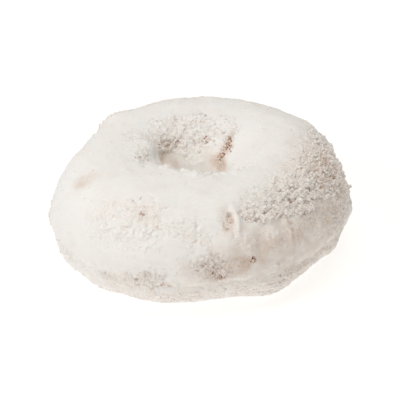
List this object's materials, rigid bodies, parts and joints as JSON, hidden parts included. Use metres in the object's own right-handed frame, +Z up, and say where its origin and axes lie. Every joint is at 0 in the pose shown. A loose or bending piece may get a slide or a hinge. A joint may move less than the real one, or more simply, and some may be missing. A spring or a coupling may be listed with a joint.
{
  "type": "powdered mini doughnut",
  "caption": "Small fried cake ring with a narrow hole, domed top and flat underside, all over coated in matt white powdered sugar over an uneven, pitted crust.",
  "frame": {"origin": "on the resting surface, under the middle of the ring's outline", "axes": "+Z up through the hole, -Y towards the side shown in the picture, +X to its right"},
  "size_m": [0.0562, 0.0562, 0.0218],
  "materials": {
    "powdered_crust": "matt, uneven coat of fine powdered sugar, with tan crust showing in pits and thin places"
  },
  "bodies": {
    "root": {"doughnut": "powdered_crust"}
  },
  "joints": []
}
